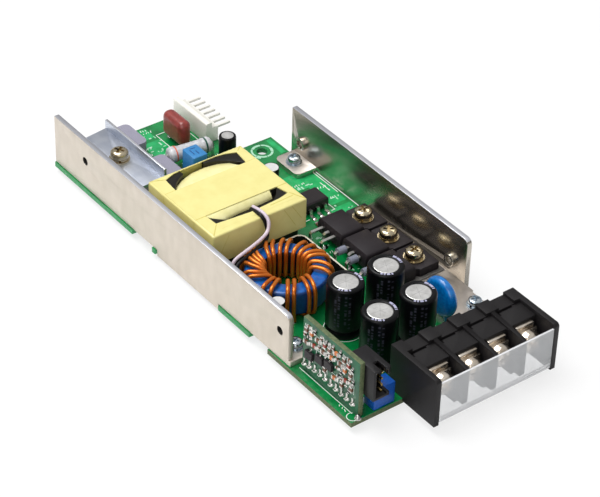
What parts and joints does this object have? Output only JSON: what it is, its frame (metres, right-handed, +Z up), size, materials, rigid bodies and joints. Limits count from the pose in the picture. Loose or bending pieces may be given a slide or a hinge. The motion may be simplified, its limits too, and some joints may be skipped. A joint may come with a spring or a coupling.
{
  "type": "open-frame switching power supply",
  "caption": "Open-frame switching power supply: a long circuit board between two upright heatsink plates, with a screw terminal block in front and a pin connector behind.",
  "frame": {"origin": "middle of the overall footprint, on the plane that the nuts under the board rest on", "axes": "+X across towards the bracket that carries the power transistors, +Y along the board from the terminal block to the pin connector, +Z up from the board towards its parts"},
  "size_m": [0.06, 0.1506, 0.0204],
  "materials": {
    "axial_coat": "lacquered body",
    "bead": "grey ferrite bead",
    "black_lead": "soft insulation",
    "black_plastic": "moulded plastic",
    "blue_coat": "painted coating",
    "board": "green solder mask over woven glass laminate",
    "bobbin": "moulded phenolic",
    "box_plastic": "moulded box",
    "bracket": "rolled aluminium, half polished",
    "brass": "turned brass",
    "capacitor_sleeve": "shrunk sleeve",
    "chip_parts": "small ceramic parts",
    "clear_cover": "clear plastic",
    "control_board": "green solder mask",
    "copper_wire": "enamelled copper",
    "disc_coat": "dipped coating",
    "epoxy": "moulded epoxy",
    "ferrite": "fired ferrite",
    "film_coat": "dipped coating",
    "gold_pin": "plated pin",
    "header_plastic": "moulded plastic",
    "insulating_sheet": "thin fibre sheet",
    "nickel_plate": "nickel plated",
    "nickel_screw": "nickel plated",
    "pad": "thin insulating pad",
    "plate": "rolled aluminium, satin",
    "silicone": "matt silicone",
    "solder": "bright solder",
    "tin": "tinned",
    "trimmer_plastic": "moulded plastic",
    "white_lead": "soft insulation",
    "white_nylon": "natural nylon",
    "winding_tape": "polyester tape",
    "yellow_tape": "polyester tape",
    "zinc_screw": "bluish zinc plating",
    "zinc_sheet": "bluish zinc plated sheet"
  },
  "bodies": {
    "root": {"axial_part": "axial_coat", "board_nuts": "zinc_screw", "board_screw_washers": "zinc_screw", "board_screws": "zinc_screw", "box_capacitor": "box_plastic", "chip_body": "epoxy", "chip_legs": "tin", "choke_core": "blue_coat", "choke_wall": "insulating_sheet", "choke_winding": "copper_wire", "clamp_channel": "zinc_sheet", "clamp_screw": "nickel_screw", "clamp_screw_washers": "nickel_screw", "component_leads": "tin", "connector_housing": "white_nylon", "connector_pins": "tin", "control_board": "control_board", "control_board_parts": "chip_parts", "control_board_pins": "tin", "disc_capacitor": "disc_coat", "film_capacitor": "film_coat", "insulating_caps": "silicone", "lead_sleeves": "bead", "left_heatsink_plate": "plate", "main_board": "board", "output_capacitor_1": "capacitor_sleeve", "output_capacitor_2": "capacitor_sleeve", "output_capacitor_3": "capacitor_sleeve", "output_capacitor_4": "capacitor_sleeve", "power_transistor_1": "epoxy", "power_transistor_2": "epoxy", "power_transistor_3": "epoxy", "primary_transistors": "epoxy", "right_heatsink_bracket": "bracket", "signal_header": "header_plastic", "signal_header_pins": "gold_pin", "small_capacitors": "capacitor_sleeve", "solder_joints": "solder", "surface_parts": "chip_parts", "terminal_cover": "clear_cover", "terminal_housing": "black_plastic", "terminal_plates": "nickel_plate", "terminal_screws": "nickel_screw", "terminal_washers": "nickel_plate", "transformer_bobbin": "bobbin", "transformer_core_lower": "ferrite", "transformer_core_upper": "ferrite", "transformer_lead_black": "black_lead", "transformer_lead_white": "white_lead", "transformer_pins": "tin", "transformer_tape": "yellow_tape", "transformer_winding": "winding_tape", "transistor_leads": "tin", "transistor_pad": "pad", "transistor_screws": "nickel_screw", "transistor_washers": "nickel_screw", "trimmer_body": "trimmer_plastic", "trimmer_rotor": "brass"}
  },
  "joints": []
}
